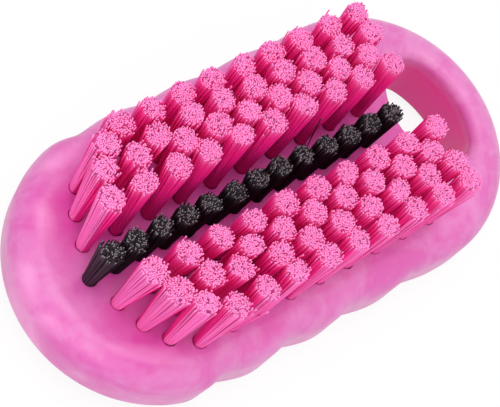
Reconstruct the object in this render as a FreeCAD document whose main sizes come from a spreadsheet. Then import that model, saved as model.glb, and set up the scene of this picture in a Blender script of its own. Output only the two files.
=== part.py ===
import FreeCAD, Part
import os
from math import atan2, degrees, radians, sqrt
import Sketcher

# Nail brush: a moulded block with a finger loop, drilled for tufts that flat wire anchors hold in their holes.
# Millimetres and degrees. The brush lies on its back with the bristles up: X runs towards the loop, Y across
# the block and Z up. The origin is in the middle of the flat back.

doc = FreeCAD.newDocument("nail_brush")
sizes = doc.addObject("Spreadsheet::Sheet", "sizes")

# The edges are rounded at the bristle face and bevelled at the back. The wall share limits both by the thickness.
BLOCK_SIZES = {
    "block_length": 100.0,
    "block_width": 49.3,
    "block_thickness": 13.4,
    "edge_round": 5.0,
    "edge_bevel": 3.6,
    "edge_wall_share": 0.45,
}
# The loop hole: the rim is the plastic left at the tip, the reach is the hole's length along the block. The two
# rim shares limit the edges on either side of the rim, so that they never meet.
LOOP_SIZES = {
    "loop_rim": 7.2,
    "loop_reach": 13.5,
    "loop_tip_radius": 16.5,
    "loop_field_radius": 13.5,
    "loop_corner_radius": 5.0,
    "loop_round": 2.0,
    "loop_bevel": 1.0,
    "outer_rim_share": 0.7,
    "inner_rim_share": 0.28,
}
# Finger scallops: notches between round lobes, which the rounded edge takes in below the bristle face. The inset
# is from the plain end to the first notch. The lift keeps the crests of the lobes on the plain side wall.
SCALLOP_SIZES = {
    "scallop_inset": 22.4,
    "scallop_pitch": 14.4,
    "scallop_depth": 1.6,
    "scallop_lift": 0.05,
}
# Diameters of holes and bundles are across the flats of their sides. Trim is the height of a tuft above the
# bristle face, fold is the bundle's thickness under its anchor. The field end gap is the least distance from a
# tuft hole to the loop.
TUFT_SIZES = {
    "hole_diameter": 2.6,
    "hole_depth": 8.0,
    "fit_clearance": 0.05,
    "long_trim": 17.0,
    "long_top_diameter": 3.25,
    "short_trim": 12.1,
    "short_top_diameter": 3.25,
    "fold_thickness": 0.6,
    "anchor_height": 1.6,
    "anchor_thickness": 0.35,
    "field_end_gap": 5.8,
    "cut_overrun": 1.0,
}
# Rows of tufts: the start is the first hole's distance from the plain end, the gap lies between the tops of this
# row and those of the row inside it, the spacing between the tops along the row, and the lean is outwards.
ROW_SIZES = {
    "centre_row": {"start": 10.3, "spacing": 1.72},
    "inner_row": {"start": 12.4, "spacing": 3.4, "gap": 2.27, "lean": 3.8},
    "second_row": {"start": 29.5, "spacing": 3.32, "gap": 0.42, "lean": 2.5},
    "third_row": {"start": 33.1, "spacing": 3.23, "gap": 0.54, "lean": 1.2},
    "outer_row": {"start": 21.3, "spacing": 3.12, "gap": 0.99},
    "end_pair": {"start": 14.2, "spacing": 3.2, "gap": 1.74, "lean": 2.0},
    "end_corner": {"start": 16.9, "gap": 0.78, "lean": 0.6},
    "end_filler": {"start": 25.6, "gap": 3.28, "lean": 1.5},
}
ROW_INSIDE = {
    "inner_row": "centre_row",
    "second_row": "inner_row",
    "third_row": "second_row",
    "outer_row": "third_row",
    "end_pair": "inner_row",
    "end_corner": "end_pair",
    "end_filler": "inner_row",
}
BANK_SIDES = {"far": "1", "near": "-1"}
TUFT_SIDES = 6
LEAST_CUT_SHARE = 0.5
LEVEL_SHARE = 0.5

FIELD_END = "sizes.block_length - sizes.loop_rim - sizes.loop_reach - sizes.field_end_gap"
FOOT_END = "sizes.fit_clearance - sizes.hole_depth"
ANCHOR_SEAT = f"{FOOT_END} + sizes.fold_thickness"
ANCHOR_SPAN = "sizes.hole_diameter - 2 * sizes.fit_clearance"
SIDE_LENGTH = "sizes.block_length - sizes.block_width / 2 - sizes.scallop_inset"
SCALLOP_COUNT = f"floor(({SIDE_LENGTH}) / sizes.scallop_pitch) + 1"
SPLAY = "atan((sizes.{length}_top_diameter - sizes.hole_diameter + 2 * sizes.fit_clearance) / 2 / sizes.{length}_trim)"
EDGE_LIMIT = "min(sizes.block_thickness * sizes.edge_wall_share; sizes.loop_rim * sizes.outer_rim_share)"
LOOP_LIMIT = "sizes.loop_rim * sizes.inner_rim_share"


def fill_sheet():
    """Writes every driving dimension into a cell of its own, with its name as the alias."""
    dimensions = {**BLOCK_SIZES, **LOOP_SIZES, **SCALLOP_SIZES, **TUFT_SIZES}
    for row, fields in ROW_SIZES.items():
        for field, amount in fields.items():
            dimensions[f"{row}_{field}"] = amount
    for line, (alias, amount) in enumerate(dimensions.items(), start=1):
        sizes.set(f"A{line}", alias)
        sizes.set(f"B{line}", str(amount))
        sizes.setAlias(f"B{line}", alias)
    doc.recompute()


def value(expression):
    """The number that an expression on the sheet gives now."""
    return float(sizes.evalExpression(expression))


def size(alias):
    return value(f"sizes.{alias}")


def row_length(row):
    return "short" if row == "centre_row" else "long"


def top_diameter(row):
    return f"sizes.{row_length(row)}_top_diameter"


def row_offset(row):
    """Distance of a row's holes from the middle line, counted outwards row by row."""
    if row == "centre_row":
        return "0"
    inside = ROW_INSIDE[row]
    return f"{row_offset(inside)} + ({top_diameter(inside)} + {top_diameter(row)}) / 2 + sizes.{row}_gap"


def row_pitch(row):
    return f"{top_diameter(row)} + sizes.{row}_spacing"


def row_count(row):
    """A row fills the field up to the loop; two tufts make the pair and one each the corner and the filler."""
    if "spacing" not in ROW_SIZES[row]:
        return "1"
    if row == "end_pair":
        return "2"
    return f"floor(({FIELD_END} - sizes.{row}_start) / ({row_pitch(row)})) + 1"


def row_lean(row, side):
    return f"-{side} * sizes.{row}_lean * 1 deg" if "lean" in ROW_SIZES[row] else "0 deg"


def point(x, y):
    return FreeCAD.Vector(x, y, 0)


def arc(centre, radius, start, end):
    """An arc that runs anticlockwise between two directions given in degrees."""
    circle = Part.Circle(centre, FreeCAD.Vector(0, 0, 1), radius)
    return Part.ArcOfCircle(circle, radians(start), radians(end))


def origin_feature(body, role):
    return next(item for item in body.Origin.OriginFeatures if item.Role == role)


def new_body(name):
    body = doc.addObject("PartDesign::Body", name)
    body.Label = name
    body.AllowCompound = True
    return body


def new_sketch(body, name, height="0"):
    """A sketch parallel to the body's own XY plane, raised by the height expression."""
    sketch = body.newObject("Sketcher::SketchObject", name)
    sketch.AttachmentSupport = [(origin_feature(body, "XY_Plane"), "")]
    sketch.MapMode = "FlatFace"
    sketch.setExpression("AttachmentOffset.Base.z", height)
    return sketch


def stand_on_row(item, placement, row, side):
    """Ties a placement to the mouth of a row's first hole, with its Z along the lean of the tufts."""
    item.setExpression(f"{placement}.Base.x", f"sizes.{row}_start - sizes.block_length / 2")
    item.setExpression(f"{placement}.Base.y", f"{side} * ({row_offset(row)})")
    item.setExpression(f"{placement}.Base.z", "sizes.block_thickness")
    item.setExpression(f"{placement}.Rotation.Axis.x", "1")
    item.setExpression(f"{placement}.Rotation.Axis.z", "0")
    item.setExpression(f"{placement}.Rotation.Angle", row_lean(row, side))


def constrain(sketch, *constraints):
    for constraint in constraints:
        sketch.addConstraint(Sketcher.Constraint(*constraint))


def drive(sketch, name, expression, *constraint):
    """Adds a dimension to a sketch and ties it to the sheet."""
    index = sketch.addConstraint(Sketcher.Constraint(*constraint))
    sketch.renameConstraint(index, name)
    sketch.setExpression(f"Constraints.{name}", expression)


def block_outline(body):
    """The plan of the block: two half rounds joined by straight sides."""
    sketch = new_sketch(body, "block_outline")
    radius = size("block_width") / 2
    reach = size("block_length") / 2 - radius
    sketch.addGeometry(Part.LineSegment(point(-reach, radius), point(reach, radius)))
    sketch.addGeometry(Part.LineSegment(point(reach, -radius), point(-reach, -radius)))
    sketch.addGeometry(arc(point(reach, 0), radius, -90, 90))
    sketch.addGeometry(arc(point(-reach, 0), radius, 90, 270))
    constrain(
        sketch,
        ("Tangent", 0, 2, 2, 2),
        ("Tangent", 2, 1, 1, 1),
        ("Tangent", 1, 2, 3, 2),
        ("Tangent", 3, 1, 0, 1),
        ("Symmetric", 2, 3, 3, 3, -1, 1),
        ("PointOnObject", 2, 3, -1),
        ("Equal", 2, 3),
    )
    drive(sketch, "end_radius", "sizes.block_width / 2", "Radius", 2, radius)
    spacing = "sizes.block_length - sizes.block_width"
    drive(sketch, "end_spacing", spacing, "DistanceX", 3, 3, 2, 3, 2 * reach)
    return sketch


def loop_outline(body):
    """The egg-shaped loop hole: a wide arc at each end, joined by two corner arcs."""
    sketch = new_sketch(body, "loop_outline")
    tip_radius, field_radius = size("loop_tip_radius"), size("loop_field_radius")
    corner = size("loop_corner_radius")
    tip = size("block_length") / 2 - size("loop_rim")
    tip_centre = tip - tip_radius
    field_centre = tip - size("loop_reach") + field_radius
    span = field_centre - tip_centre
    tip_arm, field_arm = tip_radius - corner, field_radius - corner
    along = (span**2 + tip_arm**2 - field_arm**2) / (2 * span)
    across = sqrt(tip_arm**2 - along**2)
    tip_turn = degrees(atan2(across, along))
    field_turn = degrees(atan2(across, along - span))
    corner_x = tip_centre + along
    sketch.addGeometry(arc(point(tip_centre, 0), tip_radius, -tip_turn, tip_turn))
    sketch.addGeometry(arc(point(corner_x, across), corner, tip_turn, field_turn))
    sketch.addGeometry(arc(point(field_centre, 0), field_radius, field_turn, 360 - field_turn))
    sketch.addGeometry(arc(point(corner_x, -across), corner, -field_turn, -tip_turn))
    for first in range(4):
        constrain(sketch, ("Tangent", first, 2, (first + 1) % 4, 1))
    constrain(sketch, ("PointOnObject", 0, 3, -1), ("PointOnObject", 2, 3, -1), ("Equal", 1, 3))
    drive(sketch, "tip_radius", "sizes.loop_tip_radius", "Radius", 0, tip_radius)
    drive(sketch, "field_radius", "sizes.loop_field_radius", "Radius", 2, field_radius)
    drive(sketch, "corner_radius", "sizes.loop_corner_radius", "Radius", 1, corner)
    tip_x = "sizes.block_length / 2 - sizes.loop_rim"
    tip_place = f"{tip_x} - sizes.loop_tip_radius"
    field_place = f"{tip_x} - sizes.loop_reach + sizes.loop_field_radius"
    drive(sketch, "tip_centre", tip_place, "DistanceX", -1, 1, 0, 3, tip_centre)
    drive(sketch, "field_centre", field_place, "DistanceX", -1, 1, 2, 3, field_centre)
    return sketch


def scallop_outline(body):
    """One notch seen from above: two lobe arcs that leave the side wall level and meet in a cusp."""
    sketch = new_sketch(body, "scallop_outline")
    drop = "sizes.scallop_depth + sizes.scallop_lift"
    sketch.setExpression("AttachmentOffset.Base.x", "sizes.scallop_inset - sizes.block_length / 2")
    sketch.setExpression("AttachmentOffset.Base.y", "sizes.block_width / 2")
    half, lift, outside = size("scallop_pitch") / 2, size("scallop_lift"), size("cut_overrun")
    depth = value(drop)
    radius = (half**2 + depth**2) / (2 * depth)
    turn = degrees(atan2(radius - depth, half))
    sketch.addGeometry(arc(point(-half, lift - radius), radius, turn, 90))
    sketch.addGeometry(arc(point(half, lift - radius), radius, 90, 180 - turn))
    sketch.addGeometry(Part.LineSegment(point(half, lift), point(half, outside)))
    sketch.addGeometry(Part.LineSegment(point(half, outside), point(-half, outside)))
    sketch.addGeometry(Part.LineSegment(point(-half, outside), point(-half, lift)))
    constrain(
        sketch,
        ("Coincident", 0, 1, 1, 2),
        ("Coincident", 1, 1, 2, 1),
        ("Coincident", 2, 2, 3, 1),
        ("Coincident", 3, 2, 4, 1),
        ("Coincident", 4, 2, 0, 2),
        ("Vertical", 2),
        ("Vertical", 4),
        ("Horizontal", 3),
        ("Vertical", 0, 3, 0, 2),
        ("Symmetric", 0, 3, 1, 3, -2),
        ("Symmetric", 0, 2, 1, 1, -2),
    )
    drive(sketch, "pitch", "sizes.scallop_pitch", "DistanceX", 0, 2, 1, 1, 2 * half)
    drive(sketch, "lift", "sizes.scallop_lift", "DistanceY", -1, 1, 0, 2, lift)
    drive(sketch, "outside", "sizes.cut_overrun", "DistanceY", -1, 1, 3, 1, outside)
    drive(sketch, "drop", drop, "DistanceY", 0, 1, 0, 2, depth)
    return sketch


def polygon(sketch, diameter):
    """A regular polygon round the sketch's origin, a corner on X, its size across flats an expression."""
    radius = f"({diameter}) / 2 / cos({180 / TUFT_SIDES} deg)"
    rim = value(radius)
    axis = FreeCAD.Vector(0, 0, 1)
    turns = [FreeCAD.Rotation(axis, 360 / TUFT_SIDES * number) for number in range(TUFT_SIDES)]
    corners = [turn.multVec(point(rim, 0)) for turn in turns]
    for first, second in zip(corners, corners[1:] + corners[:1]):
        sketch.addGeometry(Part.LineSegment(first, second))
    circle = sketch.addGeometry(Part.Circle(point(0, 0), axis, rim), True)
    for number in range(TUFT_SIDES):
        constrain(sketch, ("Coincident", number, 2, (number + 1) % TUFT_SIDES, 1))
        constrain(sketch, ("PointOnObject", number, 1, circle))
    for number in range(1, TUFT_SIDES):
        constrain(sketch, ("Equal", 0, number))
    constrain(sketch, ("Coincident", circle, 3, -1, 1), ("PointOnObject", 0, 1, -1))
    drive(sketch, "radius", radius, "Radius", circle, rim)


def rectangle(sketch, length, width):
    """A rectangle centred on the sketch's origin, with its two sides as expressions."""
    half, deep = value(length) / 2, value(width) / 2
    corners = [point(-half, -deep), point(half, -deep), point(half, deep), point(-half, deep)]
    for first, second in zip(corners, corners[1:] + corners[:1]):
        sketch.addGeometry(Part.LineSegment(first, second))
    for number in range(4):
        constrain(sketch, ("Coincident", number, 2, (number + 1) % 4, 1))
    constrain(sketch, ("Horizontal", 0), ("Vertical", 1), ("Horizontal", 2), ("Vertical", 3))
    constrain(sketch, ("Symmetric", 0, 1, 2, 1, -1, 1))
    drive(sketch, "length", length, "DistanceX", 0, 1, 0, 2, 2 * half)
    drive(sketch, "width", width, "DistanceY", 1, 1, 1, 2, 2 * deep)


def along_x(body, name, pitch, count):
    pattern = body.newObject("PartDesign::LinearPattern", f"{name}_along")
    pattern.Direction = (origin_feature(body, "X_Axis"), [""])
    pattern.Mode = "Spacing"
    pattern.setExpression("Offset", pitch)
    pattern.setExpression("Occurrences", count)
    return pattern


def across_middle(body, name):
    mirror = body.newObject("PartDesign::Mirrored", f"{name}_across")
    mirror.MirrorPlane = (origin_feature(body, "XZ_Plane"), [""])
    return mirror


def repeat(body, feature, make_steps):
    """Repeats a feature by one transformation after the other, and returns the result."""
    repeats = body.newObject("PartDesign::MultiTransform", f"{feature.Name}_repeats")
    repeats.Originals = [feature]
    repeats.Transformations = make_steps()
    body.Tip = repeats
    doc.recompute()
    return repeats


def repeat_row(body, feature, row, mirrored=False):
    """Takes a row's first feature to all the row's places, in both banks where it is mirrored."""
    in_row = "spacing" in ROW_SIZES[row]

    def steps():
        made = []
        if in_row:
            made.append(along_x(body, feature.Name, row_pitch(row), row_count(row)))
        if mirrored:
            made.append(across_middle(body, feature.Name))
        return made

    return repeat(body, feature, steps) if in_row or mirrored else feature


def check_cut(before, after, expected):
    """A cut that misses the material would leave no other trace than its volume."""
    taken = before.Shape.Volume - after.Shape.Volume
    if taken <= expected * LEAST_CUT_SHARE:
        raise RuntimeError(f"{after.Name} takes only {taken:.2f} of {expected:.2f} mm3")


def level_edges(feature, height, region=None):
    """Names of a feature's level edges at a height, only those within a region where one is given."""
    near = Part.Precision.confusion()
    names = []
    for number, edge in enumerate(feature.Shape.Edges, start=1):
        middle = edge.valueAt((edge.FirstParameter + edge.LastParameter) / 2)
        points = [vertex.Point for vertex in edge.Vertexes] + [middle]
        level = max(abs(p.z - height) for p in points) < near
        inside = region is None or all(region.isInside(point(p.x, p.y)) for p in points)
        if level and inside:
            names.append(f"Edge{number}")
    return names


def edged(body, name, base, limit, region=None):
    """Rounds the edges of an outline at the bristle face and bevels them at the back."""
    fillet = body.newObject("PartDesign::Fillet", f"{name}_rounding")
    fillet.Base = (base, level_edges(base, size("block_thickness"), region))
    fillet.setExpression("Radius", f"min(sizes.{name}_round; {limit})")
    doc.recompute()
    chamfer = body.newObject("PartDesign::Chamfer", f"{name}_bevelling")
    chamfer.Base = (fillet, level_edges(fillet, 0, region))
    chamfer.setExpression("Size", f"min(sizes.{name}_bevel; {limit})")
    doc.recompute()
    check_cut(base, fillet, 0)
    check_cut(fillet, chamfer, 0)
    return chamfer


def cut_loop(body, block):
    """The finger loop, cut right through the block, with both its rims eased."""
    outline = loop_outline(body)
    loop = body.newObject("PartDesign::Pocket", "loop")
    loop.Profile = outline
    loop.Type = "ThroughAll"
    loop.Reversed = True
    doc.recompute()
    check_cut(block, loop, Part.Face(outline.Shape.Wires).Area * size("block_thickness"))
    region = outline.Shape.BoundBox
    region.enlarge(Part.Precision.confusion())
    return edged(body, "loop", loop, LOOP_LIMIT, region)


def cut_scallops(body, block):
    """The finger scallops of both long sides."""
    scallop = body.newObject("PartDesign::Pocket", "scallop")
    scallop.Profile = scallop_outline(body)
    scallop.Type = "ThroughAll"
    scallop.Reversed = True
    doc.recompute()
    check_cut(block, scallop, 0)

    def steps():
        along = along_x(body, "scallop", "sizes.scallop_pitch", SCALLOP_COUNT)
        return [along, across_middle(body, "scallop")]

    scallops = repeat(body, scallop, steps)
    check_cut(scallop, scallops, 0)
    return scallops


def drill_row(body, row, block):
    """The blind holes of one row, in both banks, drilled along the lean of the tufts."""
    sketch = new_sketch(body, f"{row}_hole_outline")
    stand_on_row(sketch, "AttachmentOffset", row, "1")
    polygon(sketch, "sizes.hole_diameter")
    hole = body.newObject("PartDesign::Pocket", f"{row}_hole")
    hole.Profile = sketch
    hole.SideType = "Two sides"
    hole.setExpression("Length", "sizes.hole_depth")
    hole.setExpression("Length2", "sizes.cut_overrun")
    doc.recompute()
    mirrored = row in ROW_INSIDE
    holes = repeat_row(body, hole, row, mirrored)
    number = value(row_count(row)) * (2 if mirrored else 1)
    check_cut(block, holes, number * size("hole_diameter") ** 2 * size("hole_depth"))
    return holes


def brush_body():
    body = new_body("brush_body")
    slab = body.newObject("PartDesign::Pad", "slab")
    slab.Profile = block_outline(body)
    slab.setExpression("Length", "sizes.block_thickness")
    doc.recompute()
    block = edged(body, "edge", slab, EDGE_LIMIT)
    block = cut_loop(body, block)
    block = cut_scallops(body, block)
    for row in ROW_SIZES:
        block = drill_row(body, row, block)
    return body


def splayed(body, name, bundles, length):
    """Drafts the sides of the bundles about the mouths of their holes, so that they widen to the trim."""
    sides = [
        f"Face{number}" for number, face in enumerate(bundles.Shape.Faces, start=1)
        if face.normalAt(0, 0).dot(FreeCAD.Vector(0, 0, 1)) ** 2 < LEVEL_SHARE
    ]
    draft = body.newObject("PartDesign::Draft", f"{name}_splay")
    draft.Base = (bundles, sides)
    draft.NeutralPlane = (origin_feature(body, "XY_Plane"), [""])
    draft.Reversed = True
    draft.setExpression("Angle", SPLAY.format(length=length))
    doc.recompute()
    check_cut(draft, bundles, 0)


def tuft_row(name, row, side):
    """The tufts of one row: bundles that fill their holes, splay to the trim and fold round their anchors."""
    body = new_body(name)
    stand_on_row(body, "Placement", row, side)
    mouth = new_sketch(body, f"{name}_mouth")
    polygon(mouth, ANCHOR_SPAN)
    bundle = body.newObject("PartDesign::Pad", f"{name}_bundle")
    bundle.Profile = mouth
    bundle.SideType = "Two sides"
    bundle.setExpression("Length", f"sizes.{row_length(row)}_trim")
    bundle.setExpression("Length2", f"-({FOOT_END})")
    doc.recompute()
    splayed(body, name, repeat_row(body, bundle, row), row_length(row))
    slot_outline = new_sketch(body, f"{name}_slot_outline", ANCHOR_SEAT)
    slot_width = "sizes.anchor_thickness + 2 * sizes.fit_clearance"
    rectangle(slot_outline, "sizes.hole_diameter + 2 * sizes.cut_overrun", slot_width)
    whole = body.Tip
    slot = body.newObject("PartDesign::Pocket", f"{name}_slot")
    slot.Profile = slot_outline
    slot.Reversed = True
    slot.setExpression("Length", "sizes.anchor_height + 2 * sizes.fit_clearance")
    doc.recompute()
    check_cut(whole, slot, value(ANCHOR_SPAN) * value(slot_width) * size("anchor_height"))
    repeat_row(body, slot, row)
    return body


def anchor_row(name, row, side):
    """The flat wire anchors of one row, on edge across the bottoms of the holes."""
    body = new_body(name)
    stand_on_row(body, "Placement", row, side)
    outline = new_sketch(body, f"{name}_wire", f"{ANCHOR_SEAT} + sizes.fit_clearance")
    rectangle(outline, ANCHOR_SPAN, "sizes.anchor_thickness")
    anchor = body.newObject("PartDesign::Pad", f"{name}_wire_length")
    anchor.Profile = outline
    anchor.setExpression("Length", "sizes.anchor_height")
    doc.recompute()
    repeat_row(body, anchor, row)
    return body


def tufts_and_anchors():
    """Every row of tufts with its row of anchors, and the number of solids in each."""
    made = []
    for row in ROW_SIZES:
        count = round(value(row_count(row)))
        plural = "s" if "spacing" in ROW_SIZES[row] else ""
        banks = BANK_SIDES if row in ROW_INSIDE else {"": "1"}
        for bank, side in banks.items():
            name = f"{bank}_{row}" if bank else row
            made.append((tuft_row(f"{name}_tuft{plural}", row, side), count))
            made.append((anchor_row(f"{name}_anchor{plural}", row, side), count))
    return made


def check_and_export(pieces):
    """Writes each piece to a file of its own, once the whole document is sound."""
    for item in doc.Objects:
        if "Invalid" in item.State or "Error" in item.State:
            raise RuntimeError(f"{item.Name} is {item.State}")
    for piece, count in pieces:
        shape = piece.Shape
        if shape.isNull() or not shape.isValid():
            raise RuntimeError(f"{piece.Label} has no valid shape")
        if len(shape.Solids) != count:
            raise RuntimeError(f"{piece.Label} has {len(shape.Solids)} solids, not {count}")
    os.makedirs("parts", exist_ok=True)
    for piece, count in pieces:
        piece.Shape.exportStep(f"parts/{piece.Label}.step")
        print(piece.Label, count, f"{piece.Shape.Volume:.1f} mm3")


fill_sheet()
check_and_export([(brush_body(), 1)] + tufts_and_anchors())
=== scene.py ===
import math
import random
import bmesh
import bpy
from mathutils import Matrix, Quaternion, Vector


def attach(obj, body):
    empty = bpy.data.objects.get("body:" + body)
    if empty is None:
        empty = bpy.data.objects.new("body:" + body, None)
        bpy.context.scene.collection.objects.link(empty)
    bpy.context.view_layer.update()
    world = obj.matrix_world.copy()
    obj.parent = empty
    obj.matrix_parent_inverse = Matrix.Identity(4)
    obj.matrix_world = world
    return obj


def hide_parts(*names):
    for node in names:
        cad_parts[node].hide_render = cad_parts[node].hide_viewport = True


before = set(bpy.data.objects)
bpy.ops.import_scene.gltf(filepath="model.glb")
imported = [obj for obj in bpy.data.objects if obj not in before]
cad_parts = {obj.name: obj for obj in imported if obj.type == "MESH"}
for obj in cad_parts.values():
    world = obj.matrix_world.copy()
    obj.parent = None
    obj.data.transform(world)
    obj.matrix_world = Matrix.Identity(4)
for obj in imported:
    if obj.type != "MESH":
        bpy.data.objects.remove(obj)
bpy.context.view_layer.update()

# %% [markdown]
# A nail brush is two things: a moulded block with a finger loop, and 87 tufts of nylon
# bristle that are punched into holes in its face. The construction model already has both
# in their right places. This lesson dresses it: it rebuilds the block with soft moulded
# edges, grows every tuft strand by strand, and gives each material its own nodes.
# Sizes are written in millimetres, as on a drawing, and MM turns them into metres.

MM = 0.001
print("nodes in the frame:", len(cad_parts))

# %% [markdown]
# The camera comes first, because everything is judged through it. The picture was taken
# from above the plain end with a long lens, and with the camera rolled, so the brush runs
# up to the right. A heading, a downward tilt and a roll say the same as a rotation matrix
# and are easier to read and to nudge.

# %% Camera
CAMERA_PLACE = Vector((-179.13, -54.51, 293.13)) * MM
CAMERA_HEADING, CAMERA_TILT, CAMERA_ROLL = map(math.radians, (17.323, 57.160, 42.847))
CAMERA_LENS, SENSOR_WIDTH = 142.45, 36

aim = Vector((math.cos(CAMERA_HEADING) * math.cos(CAMERA_TILT),
              math.sin(CAMERA_HEADING) * math.cos(CAMERA_TILT),
              -math.sin(CAMERA_TILT)))
camera = bpy.data.objects.new("camera", bpy.data.cameras.new("camera"))
camera.data.sensor_width = SENSOR_WIDTH
camera.data.lens = CAMERA_LENS
camera.location = CAMERA_PLACE
camera.rotation_mode = "QUATERNION"
camera.rotation_quaternion = aim.to_track_quat("-Z", "Y") @ Quaternion((0, 0, 1), CAMERA_ROLL)
bpy.context.scene.collection.objects.link(camera)
bpy.context.scene.camera = camera
print("camera looks along", tuple(round(a, 3) for a in aim))

# %% [markdown]
# Materials are graphs of nodes. Wrapping a socket in a small class lets the graph be
# written as sums: an operator on a wire adds a Math node, mix() blends two colours, and
# node() adds any other node. The settings go in before the sockets, because some sockets
# only exist once a setting has been made.

# %% A wire that can be calculated with
class Wire:
    """One output socket of a node tree, with Python's operators."""

    def __init__(self, tree, socket=None):
        self.tree, self.socket = tree, socket

    def node(self, kind, settings=(), sockets=(), output=0):
        made = self.tree.nodes.new(kind)
        for name, value in dict(settings).items():
            setattr(made, name, value)
        for name, value in dict(sockets).items():
            if isinstance(value, Wire):
                self.tree.links.new(value.socket, made.inputs[name])
            else:
                made.inputs[name].default_value = value
        return Wire(self.tree, made.outputs[output])

    def maths(self, operation, *terms):
        return self.node("ShaderNodeMath", {"operation": operation}, enumerate(terms))

    def mix(self, low, high):
        return self.node("ShaderNodeMix", {"data_type": "RGBA"}, {0: self, 6: low, 7: high}, 2)

    def size(self):
        return self.maths("ABSOLUTE", self)

    def clamp(self):
        return self.node("ShaderNodeClamp", (), {"Value": self})

    def __add__(self, other):
        return self.maths("ADD", self, other)

    def __sub__(self, other):
        return self.maths("SUBTRACT", self, other)

    def __rsub__(self, other):
        return self.maths("SUBTRACT", other, self)

    def __mul__(self, other):
        return self.maths("MULTIPLY", self, other)

    def __pow__(self, other):
        return self.maths("POWER", self, other)

    __radd__, __rmul__ = __add__, __mul__


print("a wire has", sum(callable(part) for part in vars(Wire).values()), "methods")

# %% [markdown]
# Colours are easiest to read as a picture editor gives them, but nodes take them in linear
# light, so one helper translates. Two more start a material from its Principled shader and
# set that shader's sockets by name, each with a number, a colour or a wire.

# %% Colours and new materials
def colour(red, green, blue):
    """A colour as a picture editor gives it, 0 to 255, in the linear form that nodes take."""
    straight = [(c / 255 / 12.92) if c < 10.3 else ((c / 255 + 0.055) / 1.055) ** 2.4
                for c in (red, green, blue)]
    return (*straight, 1)


def new_finish(name):
    """An empty material, a wire to start from and its shader's sockets."""
    material = bpy.data.materials.new(name)
    material.use_nodes = True
    shader = material.node_tree.nodes["Principled BSDF"]
    return material, Wire(material.node_tree), shader.inputs


def feed(sockets, **values):
    """Sets or links a shader's sockets, named with underscores for spaces."""
    for name, value in values.items():
        socket = sockets[name.replace("_", " ")]
        if isinstance(value, Wire):
            value.tree.links.new(value.socket, socket)
        else:
            socket.default_value = value


print("test colour:", tuple(round(c, 3) for c in colour(235, 120, 190)))

# %% [markdown]
# The block is moulded in a pearly pink plastic whose colour wasn't stirred evenly, so
# paler and deeper streaks wander through it. Noise whose own position is pushed about by
# a second noise gives such flow lines, and a thin line where a noise crosses its middle
# value gives the finer veins.

# %% Pink block plastic
STREAK_REACH, NOISE_MIDDLE = 35 * MM, 0.5
PALE_FROM, PALE_CONTRAST, MOTTLE_CONTRAST = 0.38, 3.0, 1.6
VEIN_SHARPNESS, VEIN_SHARE = 45, 0.25

block_plastic, wire, sockets = new_finish("pink_block_plastic")
place = wire.node("ShaderNodeTexCoord", (), (), "Object")
drift = wire.node("ShaderNodeTexNoise", (), {"Vector": place, "Scale": 40, "Detail": 2}, "Color")


def push(reach):
    """The place on the block, pushed about by the drift."""
    return wire.node("ShaderNodeVectorMath", {"operation": "MULTIPLY_ADD"},
                     {0: drift, 1: (reach, reach, reach), 2: place})


flow = wire.node("ShaderNodeTexNoise", (), {"Vector": push(STREAK_REACH), "Scale": 85,
                                            "Detail": 4, "Roughness": 0.5, "Distortion": 0.6})
vein = wire.node("ShaderNodeTexNoise", (), {"Vector": push(STREAK_REACH), "Scale": 60, "Detail": 1})
mottle = wire.node("ShaderNodeTexNoise", (), {"Vector": place, "Scale": 420, "Detail": 3})
pale_share = ((flow - PALE_FROM) * PALE_CONTRAST
              + (mottle - NOISE_MIDDLE) * MOTTLE_CONTRAST).clamp()
vein_share = (1 - (vein - NOISE_MIDDLE).size() * VEIN_SHARPNESS).clamp() * VEIN_SHARE
print("streaks ready")

# %% [markdown]
# The plain end has broad pale streaks. Each is a long oval: a Mapping node moves, turns and
# stretches the block's coordinates so that the oval becomes a ball of radius 1, and the distance
# from its middle then fades the streak out. The drift frays its edge.

# %% Pale streaks on the plain end
DRIFT_REACH = 5 * MM
STREAK_EDGE, STREAK_LEAST = 1.3, 0.1
#   along  across  turn  half length  half width
STREAKS = (
    (-40.9, 11.8, -110, 3.9, 1.5),
    (-48.4, 3.0, -110, 5.1, 1.6),
    (-49.2, -3.2, -72, 3.1, 1.3),
    (-32.0, 20.6, 13, 4.2, 1.3),
    (-38.0, -14.6, -35, 6.0, 1.6),
)

pale_streak_share = 0
for along, across, turn, half_length, half_width in STREAKS:
    centre = Vector((along * MM, across * MM, 0)) + Vector((1, 1, 1)) * DRIFT_REACH / 2
    ball = wire.node("ShaderNodeMapping", {"vector_type": "TEXTURE"},
                     {"Vector": push(DRIFT_REACH), "Location": centre,
                      "Rotation": (0, 0, math.radians(turn)),
                      "Scale": (half_length * MM, half_width * MM, 1)})
    reach = wire.node("ShaderNodeVectorMath", {"operation": "LENGTH"}, {0: ball}, "Value")
    streak = (STREAK_EDGE - reach).clamp() * (STREAK_LEAST + flow * (1 - STREAK_LEAST))
    pale_streak_share = wire.maths("MAXIMUM", pale_streak_share, streak)
print("pale streaks:", len(STREAKS))

# %% [markdown]
# Between the tufts and inside the loop, light only arrives after it has bounced from pink to pink,
# so these places are darker and take on a deeper tint. A few bounces in a render give too little of
# it, so painted shade helps: soft ramps on the coordinates mark the two places, and there the colour
# is darkened. One more ramp paints the loop end a little paler: a painted sheen, for the white light
# that its rounds reflect.

# %% Painted shade in the field and in the loop, and painted sheen at the loop end
FIELD_START, FIELD_STOP = -46.5 * MM, 33 * MM
FIELD_HALF_WIDTH, FIELD_FLOOR = 20 * MM, 11.5 * MM
LOOP_MIDDLE, LOOP_HALF_LENGTH = 36 * MM, 8 * MM
LOOP_HALF_WIDTH, LOOP_LIP, LOOP_SHEEN_FROM = 14 * MM, 12.4 * MM, 28 * MM


def ramp(rise, steepness):
    """0 for a value below nought, then rising to 1 by the steepness."""
    return (rise * steepness).clamp()


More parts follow.
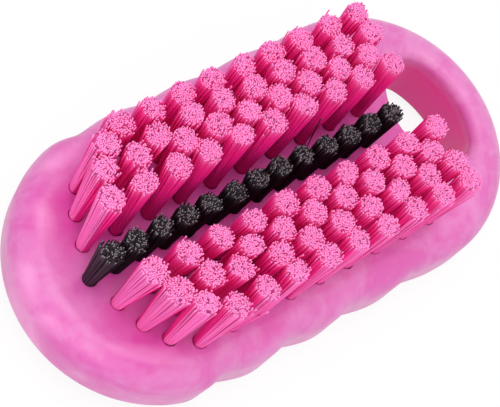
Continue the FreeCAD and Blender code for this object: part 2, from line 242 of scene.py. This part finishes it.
x, y, z = (wire.node("ShaderNodeSeparateXYZ", (), {"Vector": place}, axis) for axis in "XYZ")
# Painted shade: these ramps mark the field between the tufts and the loop wall, where the colour is
# darkened.
field_shade_share = (ramp(FIELD_HALF_WIDTH - y.size(), 130) * ramp(x - FIELD_START, 100)
               * ramp(FIELD_STOP - x, 120) * ramp(z - FIELD_FLOOR, 600))
loop_shade_share = (ramp(LOOP_HALF_LENGTH - (x - LOOP_MIDDLE).size(), 1000)
              * ramp(LOOP_HALF_WIDTH - y.size(), 1000) * ramp(LOOP_LIP - z, 400))
# Painted sheen: the loop end is painted paler, for the white light that its rounds reflect.
loop_end_sheen_share = ramp(x - LOOP_SHEEN_FROM, 60)
print("deeper tint ready")

# %% [markdown]
# The colours are laid over each other, and the skin of the moulding gets a faint
# swell and a finer grain, so that its highlights are soft and a little uneven.

# %% Block colour and skin
BLOCK_PALE, BLOCK_DEEP = colour(230, 137, 199), colour(223, 99, 182)
BLOCK_STREAK_COLOUR, BLOCK_VEIN = colour(253, 160, 220), colour(222, 70, 166)
# Painted shade: the deeper colours for the field and for the loop wall.
FIELD_SHADE_COLOUR, LOOP_SHADE_COLOUR = colour(226, 42, 168), colour(242, 32, 168)
LOOP_END_SHEEN, FIELD_SHADE_SHARE, GRAIN_SHARE = 0.35, 0.62, 0.06

# The loop end's painted sheen is added to the pale share.
pale = (pale_share + loop_end_sheen_share * LOOP_END_SHEEN).clamp()
streaked = vein_share.mix(pale.mix(BLOCK_DEEP, BLOCK_PALE), BLOCK_VEIN)
# The painted shade is laid over the streaked plastic.
with_painted_shade = loop_shade_share.mix((field_shade_share * FIELD_SHADE_SHARE).mix(streaked, FIELD_SHADE_COLOUR), LOOP_SHADE_COLOUR)
body_colour = pale_streak_share.clamp().mix(with_painted_shade, BLOCK_STREAK_COLOUR)
grain = wire.node("ShaderNodeTexNoise", (), {"Vector": place, "Scale": 900, "Detail": 2})
swell = wire.node("ShaderNodeTexNoise", (), {"Vector": push(STREAK_REACH), "Scale": 90, "Detail": 1})
skin = wire.node("ShaderNodeBump", (), {"Strength": 0.06, "Distance": 0.6 * MM,
                                        "Height": swell + grain * GRAIN_SHARE})
feed(sockets, Base_Color=body_colour, Roughness=0.30 + flow * 0.14, Normal=skin,
     Subsurface_Weight=0.12, Subsurface_Scale=2 * MM, Subsurface_Radius=(1.0, 0.35, 0.6),
     Coat_Weight=0.12, Coat_Roughness=0.2)
print("block plastic:", len(block_plastic.node_tree.nodes), "nodes")

# %% [markdown]
# The bristles are nylon. Each strand differs a little in shade, so the mesh stores a number per
# strand, and another number marks the cut ends, which are duller than the drawn sides and paler,
# partly for the rough cut and partly as painted light from above. A third number says how open a
# strand's side of the tuft is: open sides are painted pale as if lit, and sides that face a
# neighbour are painted with the deep tint of the shade in the gaps. Some ends are painted dark, as
# painted shade where a strand is missing and the gap shows: a few of the pink ones, and more than
# half of the black ones. Towards its tip a strand is painted in the colour of its own end, a painted
# light that the tips catch, and the roots are painted in shade.

# %% Pink and black nylon
FACE_HEIGHT, PINK_TRIM, BLACK_TRIM = 13.4 * MM, 17.0 * MM, 12.1 * MM
LIT_SIDE_LEAST, SIDE_SHADE, STRAND_SHADE, SPECK_SHADE = 0.1, 0.6, 0.55, 0.25
LOW_SHADE_SHARE, LIT_TIP_SHARE, LIT_TIP_POWER = 0.35, 0.7, 14
CUT_SHARE, DARK_END_SHARE, ROOT_SHADE_SHARE = 0.9, 0.86, 0.7


def bristle_finish(name, deep, pale, end, root, trim, missing):
    """Nylon for the bristles of one colour and trim, with painted light and shade and a share of
    ends painted dark as gaps.
    """
    material, wire, sockets = new_finish(name)
    strand, cut, free = (wire.node("ShaderNodeAttribute", {"attribute_name": mark}, (), "Fac")
                         for mark in ("strand", "cut_end", "open_side"))
    place = wire.node("ShaderNodeTexCoord", (), (), "Object")
    height = wire.node("ShaderNodeSeparateXYZ", (), {"Vector": place}, "Z")
    along = ramp(height - FACE_HEIGHT, 1 / trim)
    speck = wire.node("ShaderNodeTexNoise", (), {"Vector": place, "Scale": 2500, "Detail": 1})
    # Painted light and shade: open sides are painted pale as if lit, crowded sides deep as in shade.
    lit_side_share = ((LIT_SIDE_LEAST + free * (1 - LIT_SIDE_LEAST))
             * (SIDE_SHADE + strand * STRAND_SHADE + speck * SPECK_SHADE)).clamp()
    # Painted shade: the lower half of a side that faces a neighbour is darkened towards the root
    # colour.
    low = ramp(0.5 - along, 2) * (1 - free) * LOW_SHADE_SHARE
    side = low.mix(lit_side_share.mix(deep, pale), root)
    # Painted shade: a share of the ends is darkened towards the root colour, as the gap where a
    # strand is missing.
    ends = (ramp(strand - (1 - missing), 40) * DARK_END_SHARE).mix(end, root)
    # Painted light: towards the tip the side is painted paler, in the colour of its end.
    lit_tip = (along ** LIT_TIP_POWER * LIT_TIP_SHARE).mix(side, ends)
    # Painted shade: all that lies below the face, in the hole, is painted in the dark root colour.
    hole_shade_share = ramp(FACE_HEIGHT - height, 2500) * ROOT_SHADE_SHARE
    # Cut ends are paler, partly for the rough cut and partly as painted light from above.
    feed(sockets, Base_Color=hole_shade_share.mix((cut * CUT_SHARE).mix(lit_tip, ends), root),
         Roughness=0.42 + cut * 0.25, Specular_IOR_Level=0.10)
    return material


# The root colour is the painted shade of gaps and holes; the end colour is paler partly as painted
# light.
pink_nylon = bristle_finish("pink_nylon", deep=colour(253, 8, 146), pale=colour(255, 119, 199),
                            end=colour(254, 158, 221), root=colour(150, 12, 84),
                            trim=PINK_TRIM, missing=0.10)
black_nylon = bristle_finish("black_nylon", deep=colour(14, 9, 13), pale=colour(74, 46, 66),
                             end=colour(146, 139, 147), root=colour(8, 5, 8),
                             trim=BLACK_TRIM, missing=0.64)
print("nylon:", pink_nylon.name, black_nylon.name)

# %% [markdown]
# Each tuft is folded round a flat wire anchor at the bottom of its hole. The anchors
# stay as the construction model has them, and get a drawn-wire steel: fine scratches
# stretched along the wire, in the colour and in the gloss.

# %% Anchor wire
WIRE_DULL, WIRE_BRIGHT = colour(150, 148, 144), colour(205, 203, 198)
SCRATCH_SCALE = (300, 9000, 9000)

anchor_wire, wire, sockets = new_finish("anchor_wire_steel")
place = wire.node("ShaderNodeTexCoord", (), (), "Object")
along = wire.node("ShaderNodeMapping", (), {"Vector": place, "Scale": SCRATCH_SCALE})
scratch = wire.node("ShaderNodeTexNoise", (), {"Vector": along, "Scale": 1, "Detail": 3})
feed(sockets, Base_Color=scratch.mix(WIRE_DULL, WIRE_BRIGHT),
     Roughness=0.25 + scratch * 0.3, Metallic=1.0)
anchors = [node for name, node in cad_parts.items() if name.endswith(("_anchor", "_anchors"))]
for node in anchors:
    node.data.materials.clear()
    node.data.materials.append(anchor_wire)
print("anchor pieces:", len(anchors))

# %% [markdown]
# The block's plan is a long slot shape: two half circles joined by straight sides. A
# vertex spun through half a turn draws each end, and an extruded vertex draws each side,
# which is then cut into short lengths for the scallops to come.

# %% Plan of the block
BLOCK_LENGTH, BLOCK_WIDTH, BLOCK_THICKNESS = 100 * MM, 49.3 * MM, FACE_HEIGHT
END_STEPS, SIDE_CUTS = 120, 140
WELD, SHORT_EDGE = 0.01 * MM, 2 * MM
block = bmesh.new()


def spin_round(bm, vert, centre, angle, steps):
    """Draws an arc from a vertex about an upright axis and returns its last vertex."""
    arc = bmesh.ops.spin(bm, geom=[vert], cent=centre, axis=(0, 0, 1), angle=angle, steps=steps)
    return next(v for v in arc["geom_last"] if isinstance(v, bmesh.types.BMVert))


def draw_on(bm, vert, step):
    """Draws a straight side from a vertex and returns its last vertex."""
    made = bmesh.ops.extrude_vert_indiv(bm, verts=[vert])["verts"]
    bmesh.ops.translate(bm, verts=made, vec=step)
    return made[0]


end_centre = Vector(((BLOCK_LENGTH - BLOCK_WIDTH) / 2, 0, 0))
first = block.verts.new(end_centre + Vector((0, -BLOCK_WIDTH / 2, 0)))
loop_end = spin_round(block, first, end_centre, math.pi, END_STEPS)
far_end = draw_on(block, loop_end, -2 * end_centre)
plain_end = spin_round(block, far_end, -end_centre, math.pi, END_STEPS)
draw_on(block, plain_end, 2 * end_centre)
bmesh.ops.remove_doubles(block, verts=block.verts, dist=WELD)
sides = [e for e in block.edges if e.calc_length() > SHORT_EDGE]
bmesh.ops.subdivide_edges(block, edges=sides, cuts=SIDE_CUTS)
plan = bmesh.ops.contextual_create(block, geom=list(block.edges))["faces"][0]
print("plan outline:", len(block.verts), "vertices")

# %% [markdown]
# The plan is pulled up to the height where the top edge starts to round over. Each
# further ring is an inset of the last face, moved up along a quarter circle, so the edge
# is a true round whose rings stay even. The back edge gets the same in the other
# direction. One last narrow flat ring keeps the shading of the flat faces clean.

# %% Body and its rounded edges
TOP_ROUND, BACK_ROUND, FLAT_RING = 5.0 * MM, 3.6 * MM, 0.08 * MM


def pull_up(bm, face, height):
    """Raises a copy of a face on a wall and returns it."""
    pulled = bmesh.ops.extrude_face_region(bm, geom=[face], use_keep_orig=True)["geom"]
    raised = next(f for f in pulled if isinstance(f, bmesh.types.BMFace))
    bmesh.ops.translate(bm, verts=raised.verts, vec=(0, 0, height))
    bmesh.ops.recalc_face_normals(bm, faces=bm.faces)
    return raised


def round_over(bm, face, radius, up, steps):
    """Insets a face ring by ring along a quarter circle; a negative radius flares it."""
    for step in range(steps):
        low, high = (math.pi / 2 * (step + k) / steps for k in (0, 1))
        bmesh.ops.inset_region(bm, faces=[face], use_even_offset=True,
                               thickness=radius * (math.cos(low) - math.cos(high)))
        rise = abs(radius) * (math.sin(high) - math.sin(low))
        bmesh.ops.translate(bm, verts=face.verts, vec=(0, 0, up * rise))
    bmesh.ops.inset_region(bm, faces=[face], use_even_offset=True,
                           thickness=math.copysign(FLAT_RING, radius))


bmesh.ops.translate(block, verts=plan.verts, vec=(0, 0, BACK_ROUND))
top = pull_up(block, plan, BLOCK_THICKNESS - TOP_ROUND - BACK_ROUND)
round_over(block, top, TOP_ROUND, up=1, steps=12)
round_over(block, plan, BACK_ROUND, up=-1, steps=8)
print("top at", round(top.verts[0].co.z / MM, 2), "back at", round(plan.verts[0].co.z / MM, 2))

# %% [markdown]
# Four shallow notches on each long side leave convex lobes between them for the fingers.
# The side wall already has vertices close together, so the scallops can be pushed into
# it: the push is greatest at a notch and falls off as a parabola to the crown of the lobe,
# which sits a little towards the loop. An average over a short length softens the crease,
# and the push fades out towards the face, where the real block runs smooth.

# %% Scallops
#   along  depth  softness
NOTCHES = (
    (-26.6, 1.9, 0.6),
    (-12.55, 1.6, 0.35),
    (1.2, 1.3, 0.3),
    (15.5, 1.0, 0.3),
)
LOBE_HALF, LOBE_SKEW = 7.2, 1.35
SOFT_STEPS = (-1, -0.5, 0, 0.5, 1)
FADE_FROM, FADE_SHARE, FADE_POWER = 3.5 * MM, 0.92, 1.5
SCALLOP_REACH = 40 * MM


def lobe_push(x):
    """How far the side lies in from its straight line at a place along it, in millimetres."""
    marks = [(NOTCHES[0][0] - 2 * LOBE_HALF, 0), *[n[:2] for n in NOTCHES],
             (NOTCHES[-1][0] + 2 * LOBE_HALF, 0)]
    for (left, left_depth), (right, right_depth) in zip(marks, marks[1:]):
        if left <= x <= right:
            share = ((x - left) / (right - left)) ** LOBE_SKEW
            return (left_depth if share < 0.5 else right_depth) * (2 * share - 1) ** 2
    return 0


def scallop_push(x, z):
    """The push at a place along the side and a height, in metres, softened near a notch."""
    soft = min(NOTCHES, key=lambda n: abs(n[0] - x / MM))[2]
    push_in = sum(lobe_push(x / MM + soft * k) for k in SOFT_STEPS) / len(SOFT_STEPS)
    high = max(0, (z - FADE_FROM) / (BLOCK_THICKNESS - FADE_FROM))
    return push_in * MM * (1 - FADE_SHARE * high ** FADE_POWER)


for vert in block.verts:
    if abs(vert.co.x) < SCALLOP_REACH and abs(vert.co.y) > BLOCK_WIDTH / 4:
        vert.co.y -= math.copysign(scallop_push(vert.co.x, vert.co.z), vert.co.y)
print("scallops:", len(NOTCHES) * 2)

# %% [markdown]
# The plain end also tucks under a little: its wall leans in towards the back. The lowest
# rings are drawn in towards the centre of the round end, most at the back.

# %% Tucked-in plain end
TUCK, TUCK_HEIGHT, TUCK_POWER = 0.85 * MM, 7 * MM, 0.6

for vert in block.verts:
    out = (vert.co + end_centre) * Vector((1, 1, 0))
    if out.x < 0 and out.length > BLOCK_WIDTH / 4 and vert.co.z < TUCK_HEIGHT:
        ease = (-out.x / out.length) ** TUCK_POWER * (1 - vert.co.z / TUCK_HEIGHT)
        vert.co -= out.normalized() * TUCK * ease
print("tucked in by", TUCK / MM, "mm")

# %% [markdown]
# The finger loop is a slot through the block that follows the round end. Its outline is
# one wide arc at the tip, one towards the tufts, and a corner arc on each side that runs
# smoothly into both. The corner's centre is where two smaller circles cross, one about the
# centre of each wide arc, and a vertex spun about the five centres in turn draws them all.

# %% Finger loop outline
LOOP_TIP, LOOP_FIELD = 42.8 * MM, 29.3 * MM
LOOP_TIP_RADIUS, LOOP_FIELD_RADIUS, LOOP_CORNER_RADIUS = 16.5 * MM, 13.5 * MM, 5 * MM
LOOP_BACK_ROUND = 1.5 * MM

tip_centre = Vector((LOOP_TIP - LOOP_TIP_RADIUS, 0, 0))
field_centre = Vector((LOOP_FIELD + LOOP_FIELD_RADIUS, 0, 0))
reach_tip = LOOP_TIP_RADIUS - LOOP_CORNER_RADIUS
reach_field = LOOP_FIELD_RADIUS - LOOP_CORNER_RADIUS
apart = field_centre.x - tip_centre.x
corner_x = tip_centre.x + (apart ** 2 + reach_tip ** 2 - reach_field ** 2) / (2 * apart)
corner_y = math.sqrt(reach_tip ** 2 - (corner_x - tip_centre.x) ** 2)
tip_turn = math.atan2(corner_y, corner_x - tip_centre.x)
field_turn = math.atan2(corner_y, field_centre.x - corner_x)
corner_turn = math.pi - tip_turn - field_turn

plug = bmesh.new()
pen = plug.verts.new((LOOP_TIP, 0, LOOP_BACK_ROUND))
for centre, turn, steps in ((tip_centre, tip_turn, 24),
                            (Vector((corner_x, corner_y, 0)), corner_turn, 20),
                            (field_centre, 2 * field_turn, 40),
                            (Vector((corner_x, -corner_y, 0)), corner_turn, 20),
                            (tip_centre, tip_turn, 24)):
    pen = spin_round(plug, pen, centre, turn, steps)
bmesh.ops.remove_doubles(plug, verts=plug.verts, dist=WELD)
print("loop outline:", len(plug.verts), "vertices")

# %% [markdown]
# The wall of the slot is made as a plug: the outline is pulled up, and its top and back
# edges are flared out along a quarter circle, which is the same ring by ring inset with a
# negative width. Without its two caps, the side of the plug is the wall of the slot.

# %% Finger loop wall
LOOP_TOP_ROUND = 2.0 * MM


def add_to(bm, other, matrix=Matrix()):
    """Adds a moved copy of one bmesh to another."""
    mesh = bpy.data.meshes.new("copy")
    other.to_mesh(mesh)
    mesh.transform(matrix)
    bm.from_mesh(mesh)
    bpy.data.meshes.remove(mesh)


plug_back = bmesh.ops.contextual_create(plug, geom=list(plug.edges))["faces"][0]
plug_top = pull_up(plug, plug_back, BLOCK_THICKNESS - LOOP_TOP_ROUND - LOOP_BACK_ROUND)
round_over(plug, plug_top, -LOOP_TOP_ROUND, up=1, steps=8)
round_over(plug, plug_back, -LOOP_BACK_ROUND, up=-1, steps=6)
bmesh.ops.delete(plug, geom=[plug_top, plug_back], context="FACES_ONLY")
add_to(block, plug)
print("loop wall:", len(plug.faces), "faces")

# %% [markdown]
# The tufts stand in a mirrored pattern of rows: a short black row down the middle, and
# on each side four pink rows, of which the inner three lean outwards a little, with a few
# extra tufts where the rows end at the round end. One table says where each row starts,
# how its tufts are spaced, how far it is from the middle and how much it leans.

# %% Rows of tufts
#        start   pitch  count  gap    lean
ROWS = {
    "centre_row": (10.3, 4.97, 13, 0.0, 0.0),
    "inner_row": (12.4, 6.65, 10, 5.52, 3.8),
    "second_row": (29.5, 6.57, 7, 9.19, 2.5),
    "third_row": (33.1, 6.48, 7, 12.98, 1.2),
    "outer_row": (21.3, 6.37, 9, 17.22, 0.0),
    "end_pair": (14.2, 6.45, 2, 10.51, 2.0),
    "end_corner": (16.9, 0.0, 1, 14.54, 0.6),
    "end_filler": (25.6, 0.0, 1, 12.05, 1.5),
}


def row_places(row, side):
    """The mouths of a row's holes on the block's face, and how far the row leans per length."""
    start, pitch, count, gap, lean = ROWS[row]
    return [(Vector((start + pitch * k, side * gap, 0)) * MM
             + Vector((-BLOCK_LENGTH / 2, 0, BLOCK_THICKNESS)), side * math.tan(math.radians(lean)))
            for k in range(count)]


banks = {"centre_row": row_places("centre_row", 1)}
for bank, side in (("far", 1), ("near", -1)):
    for row in list(ROWS)[1:]:
        banks[f"{bank}_{row}"] = row_places(row, side)
print("tufts:", sum(map(len, banks.values())))

# %% [markdown]
# Every tuft has a blind hole with a slightly broken rim. One hole is made with a circle,
# an inset and an extrusion, which leaves the circle's own face across the mouth, so that
# face is taken out. The hole is copied to all the places, sheared to the row's lean so
# that its mouth stays level with the face.

# %% Tuft holes
HOLE_RADIUS, HOLE_RIM, HOLE_DEPTH, HOLE_SIDES = 1.30 * MM, 0.10 * MM, 8 * MM, 20

hole = bmesh.new()
bmesh.ops.create_circle(hole, cap_ends=True, segments=HOLE_SIDES,
                        radius=HOLE_RADIUS + HOLE_RIM)
mouth = next(iter(hole.faces))
bmesh.ops.inset_region(hole, faces=[mouth], thickness=HOLE_RIM, use_boundary=True,
                       use_even_offset=True)
bmesh.ops.translate(hole, verts=mouth.verts, vec=(0, 0, -HOLE_RIM))
floor_of_hole = bmesh.ops.extrude_face_region(hole, geom=[mouth])["geom"]
bmesh.ops.translate(hole, verts=[v for v in floor_of_hole if isinstance(v, bmesh.types.BMVert)],
                    vec=(0, 0, HOLE_RIM - HOLE_DEPTH))
bmesh.ops.delete(hole, geom=[mouth], context="FACES_ONLY")
for places in banks.values():
    for place, lean in places:
        shear = Matrix.Translation(place) @ Matrix(((1, 0, 0, 0), (0, 1, lean, 0),
                                                    (0, 0, 1, 0), (0, 0, 0, 1)))
        add_to(block, hole, shear)
print("one hole:", len(hole.faces), "faces")

# %% [markdown]
# The block's two flat faces are still single faces without openings. They are taken out,
# and the gap between the edge, the loop and all the hole mouths is filled in one go.
# Then every face is turned outwards, and edges that bend sharply are kept crisp.

# %% Faces with openings, and the finished block
FINE_WELD, BLOCK_CRISP = 0.001 * MM, 40

bmesh.ops.delete(block, geom=[top, plan], context="FACES_ONLY")
for height in (BLOCK_THICKNESS, 0):
    rims = [e for e in block.edges if e.is_boundary
            and all(abs(v.co.z - height) < WELD for v in e.verts)]
    bmesh.ops.triangle_fill(block, use_beauty=True, edges=rims, normal=(0, 0, 1))
bmesh.ops.remove_doubles(block, verts=block.verts, dist=FINE_WELD)
bmesh.ops.recalc_face_normals(block, faces=block.faces)
print("open edges left:", sum(not e.is_manifold for e in block.edges))


def finish_piece(bm, name, node, material, crisp):
    """Makes a mesh the piece that stands for a node, smooth but for edges over an angle."""
    for face in bm.faces:
        face.smooth = True
    for edge in bm.edges:
        edge.smooth = edge.calc_face_angle(0) < math.radians(crisp)
    mesh = bpy.data.meshes.new(name)
    bm.to_mesh(mesh)
    mesh.materials.append(material)
    piece = bpy.data.objects.new(name, mesh)
    bpy.context.scene.collection.objects.link(piece)
    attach(piece, "root")
    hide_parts(node)
    print(name, "has", len(bm.faces), "faces")
    bm.free()


finish_piece(block, "block", "brush_body", block_plastic, BLOCK_CRISP)

# %% [markdown]
# A strand is a thin five-sided tube with a slightly domed cut end. It is made once, one
# unit long and one unit in radius, with a ring near the mouth of the hole, so that it can
# leave the hole straight and then spread. The cut end's faces carry a mark for the material.

# %% One strand
STRAND_SIDES, END_INSET, END_DOME = 5, 0.45, 0.003
ROOT_DEPTH = 7.2 * MM
MOUTH_SHARE = ROOT_DEPTH / (ROOT_DEPTH + PINK_TRIM)

strand = bmesh.new()
bmesh.ops.create_cone(strand, cap_ends=True, segments=STRAND_SIDES, radius1=1, radius2=1, depth=1,
                      matrix=Matrix.Translation((0, 0, 0.5)))
bmesh.ops.bisect_plane(strand, geom=[*strand.verts, *strand.edges, *strand.faces],
                       plane_co=(0, 0, MOUTH_SHARE), plane_no=(0, 0, 1))
cut_mark = strand.faces.layers.float.new("cut_end")
strand_mark = strand.faces.layers.float.new("strand")
open_mark = strand.faces.layers.float.new("open_side")
end = max(strand.faces, key=lambda f: f.calc_center_median().z)
ring = bmesh.ops.inset_region(strand, faces=[end], thickness=END_INSET,
                              use_even_offset=True)["faces"]
bmesh.ops.translate(strand, verts=end.verts, vec=(0, 0, END_DOME))
for face in [end, *ring]:
    face[cut_mark] = 1
rest = [v.co.copy() for v in strand.verts]
print("one strand:", len(strand.faces), "faces")

# %% [markdown]
# A tuft is a bundle of such strands. They are spread over the hole by the sunflower rule, which
# packs a disc evenly, and each one is then bent from its place in the hole to its place at the
# trimmed end, where the bundle is wider. Small seeded differences in length, lean and shade make it
# look cut and used. About one strand in forty strays a little, and three in a thousand stray a lot.
# How well a strand faces a neighbouring tuft is kept for the material, which paints open sides as
# lit and crowded sides in shade. No two tufts are alike: each is a little oval, tilted and leaning
# its own way, and those at the plain end have spread the most.

# %% One tuft
GOLDEN_TURN = math.pi * (3 - math.sqrt(5))
MOUTH_RADIUS, ROOT_SLIM_SHARE, FLARE_POWER = 1.19 * MM, 0.62, 0.85
LEAST_OVAL, MOST_SWELL, NEIGHBOUR_REACH = 0.86, 1.1, 13 * MM
SPLAYED_FROM, SPLAYED_OVER, SPLAYED_SHARE = -22 * MM, 16 * MM, 0.12
RIM_FROM, RIM_ROUGH, CORNER_FROM, CORNER_ROUGH = 0.82, 1.6, 9 * MM, 3
STRAY, STRAY_ODDS, FAR_STRAY, FAR_STRAY_ODDS = 6, 0.03, 26, 0.003
TUFT_SWAY, STRAND_SWAY, LENGTH_SWAY = 0.1, 0.06, 0.06
TOP_DOME, TOP_GAP = 0.2, 0.2
OPEN_FROM, OPEN_STEEPNESS = 5.3, 6


def grow_tuft(bm, copy, place, lean, crowd, trim, make, chance):
    """Adds one tuft to a bmesh, strand by strand."""
    strands, top_radius, thickness = make
    turn, squash = chance.uniform(0, 2 * math.pi), chance.uniform(LEAST_OVAL, 1)
    splayed = min(1, max(0, (SPLAYED_FROM - place.x) / SPLAYED_OVER))
    thickness *= 1 + SPLAYED_SHARE * splayed
    rough = RIM_ROUGH + CORNER_ROUGH * splayed * (place.y > CORNER_FROM)
    top_radius *= chance.uniform(1, MOST_SWELL) * (1 + SPLAYED_SHARE * splayed)
    others = [(other - place).normalized() for other in crowd
              if 0 < (other - place).length < NEIGHBOUR_REACH]
    tilt, drift = (Vector((chance.gauss(0, TUFT_SWAY), chance.gauss(0, TUFT_SWAY), 0)) * MM
                   for _ in range(2))
    for k in range(strands):
        out = math.sqrt((k + 0.5) / strands)
        ray = Vector((math.cos(k * GOLDEN_TURN), math.sin(k * GOLDEN_TURN) * squash, 0)) * out
        ray.rotate(Quaternion((0, 0, 1), turn))
        luck = chance.random()
        stray = 1 + rough * (out > RIM_FROM)
        if luck < STRAY_ODDS:
            stray = FAR_STRAY if luck < FAR_STRAY_ODDS else STRAY
        wander = Vector((chance.gauss(0, STRAND_SWAY), chance.gauss(0, STRAND_SWAY), 0)) * MM * stray
        shortfall = TOP_DOME * out ** 2 + TOP_GAP + abs(chance.gauss(0, LENGTH_SWAY))
        length = trim + tilt.dot(ray) - shortfall * MM
        spread = (top_radius - MOUTH_RADIUS) * ray + wander + drift
        shade = chance.random()
        # How open this side is, for the painted light and shade of the material.
        facing = max(ray.normalized().dot(other) for other in others)
        free = min(1, max(0, OPEN_FROM - OPEN_STEEPNESS * facing))
        for face in strand.faces:
            face[strand_mark], face[open_mark] = shade, free
        for vert, unit in zip(strand.verts, rest):
            height = unit.z * (length + ROOT_DEPTH) - ROOT_DEPTH
            above = max(0, height) / length
            girth = thickness * (ROOT_SLIM_SHARE + (1 - ROOT_SLIM_SHARE) * above)
            vert.co = (place + ray * MOUTH_RADIUS + spread * above ** FLARE_POWER
                       + Vector((unit.x * girth, unit.y * girth + lean * height, height)))
        strand.to_mesh(copy)
        bm.from_mesh(copy)


print("bundle at the mouth:", round(2 * MOUTH_RADIUS / MM, 2), "mm across")

# %% [markdown]
# Now the rows are grown, one piece for each row, which stands for that row's node. The two kinds of
# tuft differ in the number of strands, in the width at the trimmed end and in the strand itself. For
# its painted shade a black tuft counts neighbours in every row, while a pink one leaves out the
# short black row. One row is worn a little shorter than the others.

# %% All rows of tufts
#             strands  top radius  strand radius
PINK_TUFT = (220, 2.05 * MM, 0.14 * MM)
BLACK_TUFT = (150, 1.78 * MM, 0.12 * MM)
WORN_OFF = {"far_outer_row": 0.6 * MM}
TUFT_SEED, STRAND_CRISP = 11, 50

chance = random.Random(TUFT_SEED)
copy = bpy.data.meshes.new("strand_copy")
for name, places in banks.items():
    black = name == "centre_row"
    crowd = [place for row in banks if black or row != "centre_row" for place, _ in banks[row]]
    trim = BLACK_TRIM if black else PINK_TRIM - WORN_OFF.get(name, 0)
    make = BLACK_TUFT if black else PINK_TUFT
    tufts = bmesh.new()
    for place, lean in places:
        grow_tuft(tufts, copy, place, lean, crowd, trim, make, chance)
    node = next(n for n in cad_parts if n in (name + "_tufts", name + "_tuft"))
    finish_piece(tufts, name + "_bristles", node,
                 black_nylon if black else pink_nylon, STRAND_CRISP)
bpy.data.meshes.remove(copy)

# %% [markdown]
# The brush lies on a plain white floor. The camera and mirror-like reflections see the
# floor mostly as plain white, as in a product picture, and a part of its real shading is
# kept, so that the brush still has a soft shadow to lie on.

# %% Floor
WHITE, FLOOR_SHADED = (1, 1, 1, 1), (0.7, 0.7, 0.7, 1)
FLOOR_HALF_SIZE, GLOW_SHARE = 3, 0.88


def background_rays(wire):
    """1 for rays that see the background: from the camera, from gloss or through glass."""
    path = wire.node("ShaderNodeLightPath")
    rays = [Wire(wire.tree, path.socket.node.outputs[name])
            for name in ("Is Camera Ray", "Is Glossy Ray", "Is Transmission Ray")]
    return (rays[0] + rays[1] + rays[2]).clamp()


floor_paint, wire, sockets = new_finish("white_floor")
floor_nodes = wire.tree.nodes
feed(sockets, Base_Color=background_rays(wire).mix(FLOOR_SHADED, WHITE), Roughness=0.9,
     Specular_IOR_Level=0.0)
glow = wire.node("ShaderNodeEmission", (), {"Color": WHITE, "Strength": 1.0})
shaded = Wire(wire.tree, floor_nodes["Principled BSDF"].outputs[0])
seen = wire.node("ShaderNodeMixShader", (), {0: background_rays(wire) * GLOW_SHARE,
                                             1: shaded, 2: glow})
wire.tree.links.new(seen.socket, floor_nodes["Material Output"].inputs["Surface"])

sheet = bmesh.new()
bmesh.ops.create_grid(sheet, x_segments=1, y_segments=1, size=FLOOR_HALF_SIZE)
floor_mesh = bpy.data.meshes.new("floor")
sheet.to_mesh(floor_mesh)
sheet.free()
floor_mesh.materials.append(floor_paint)
floor = bpy.data.objects.new("floor", floor_mesh)
bpy.context.scene.collection.objects.link(floor)
print("floor:", floor.dimensions.x, "m")

# %% [markdown]
# The light is a white tent with two large soft lamps: one high above, for the broad
# highlights along the edges and the pale cut ends, and one before the plain end, for the
# open sides of the tufts. They light the brush at a plain level, and the tent looks white.

# %% Light
SKY_LEVEL, SKY_RISE = 0.55, 0.22

world = bpy.data.worlds.new("tent")
world.use_nodes = True
bpy.context.scene.world = world
wire = Wire(world.node_tree)
sky = world.node_tree.nodes["Background"]
ray = wire.node("ShaderNodeTexCoord", (), (), "Generated")
upward = wire.node("ShaderNodeSeparateXYZ", (), {"Vector": ray}, "Z")
seen = background_rays(wire)
feed(sky.inputs, Color=WHITE,
     Strength=seen + (1 - seen) * (SKY_LEVEL + upward.clamp() * SKY_RISE))


def soft_lamp(name, place, size, power):
    """A square softbox that faces the brush."""
    lamp = bpy.data.objects.new(name, bpy.data.lights.new(name, "AREA"))
    lamp.data.shape, lamp.data.size, lamp.data.energy = "SQUARE", size, power
    lamp.location = place
    lamp.rotation_mode = "QUATERNION"
    lamp.rotation_quaternion = (-Vector(place)).to_track_quat("-Z", "Y")
    bpy.context.scene.collection.objects.link(lamp)


soft_lamp("front_softbox", place=(-0.72, -0.36, 0.60), size=0.80, power=3.3)
soft_lamp("top_softbox", place=(0.05, 0.08, 0.67), size=0.50, power=1.6)
bpy.context.scene.view_settings.view_transform = "Standard"

# %% [markdown]
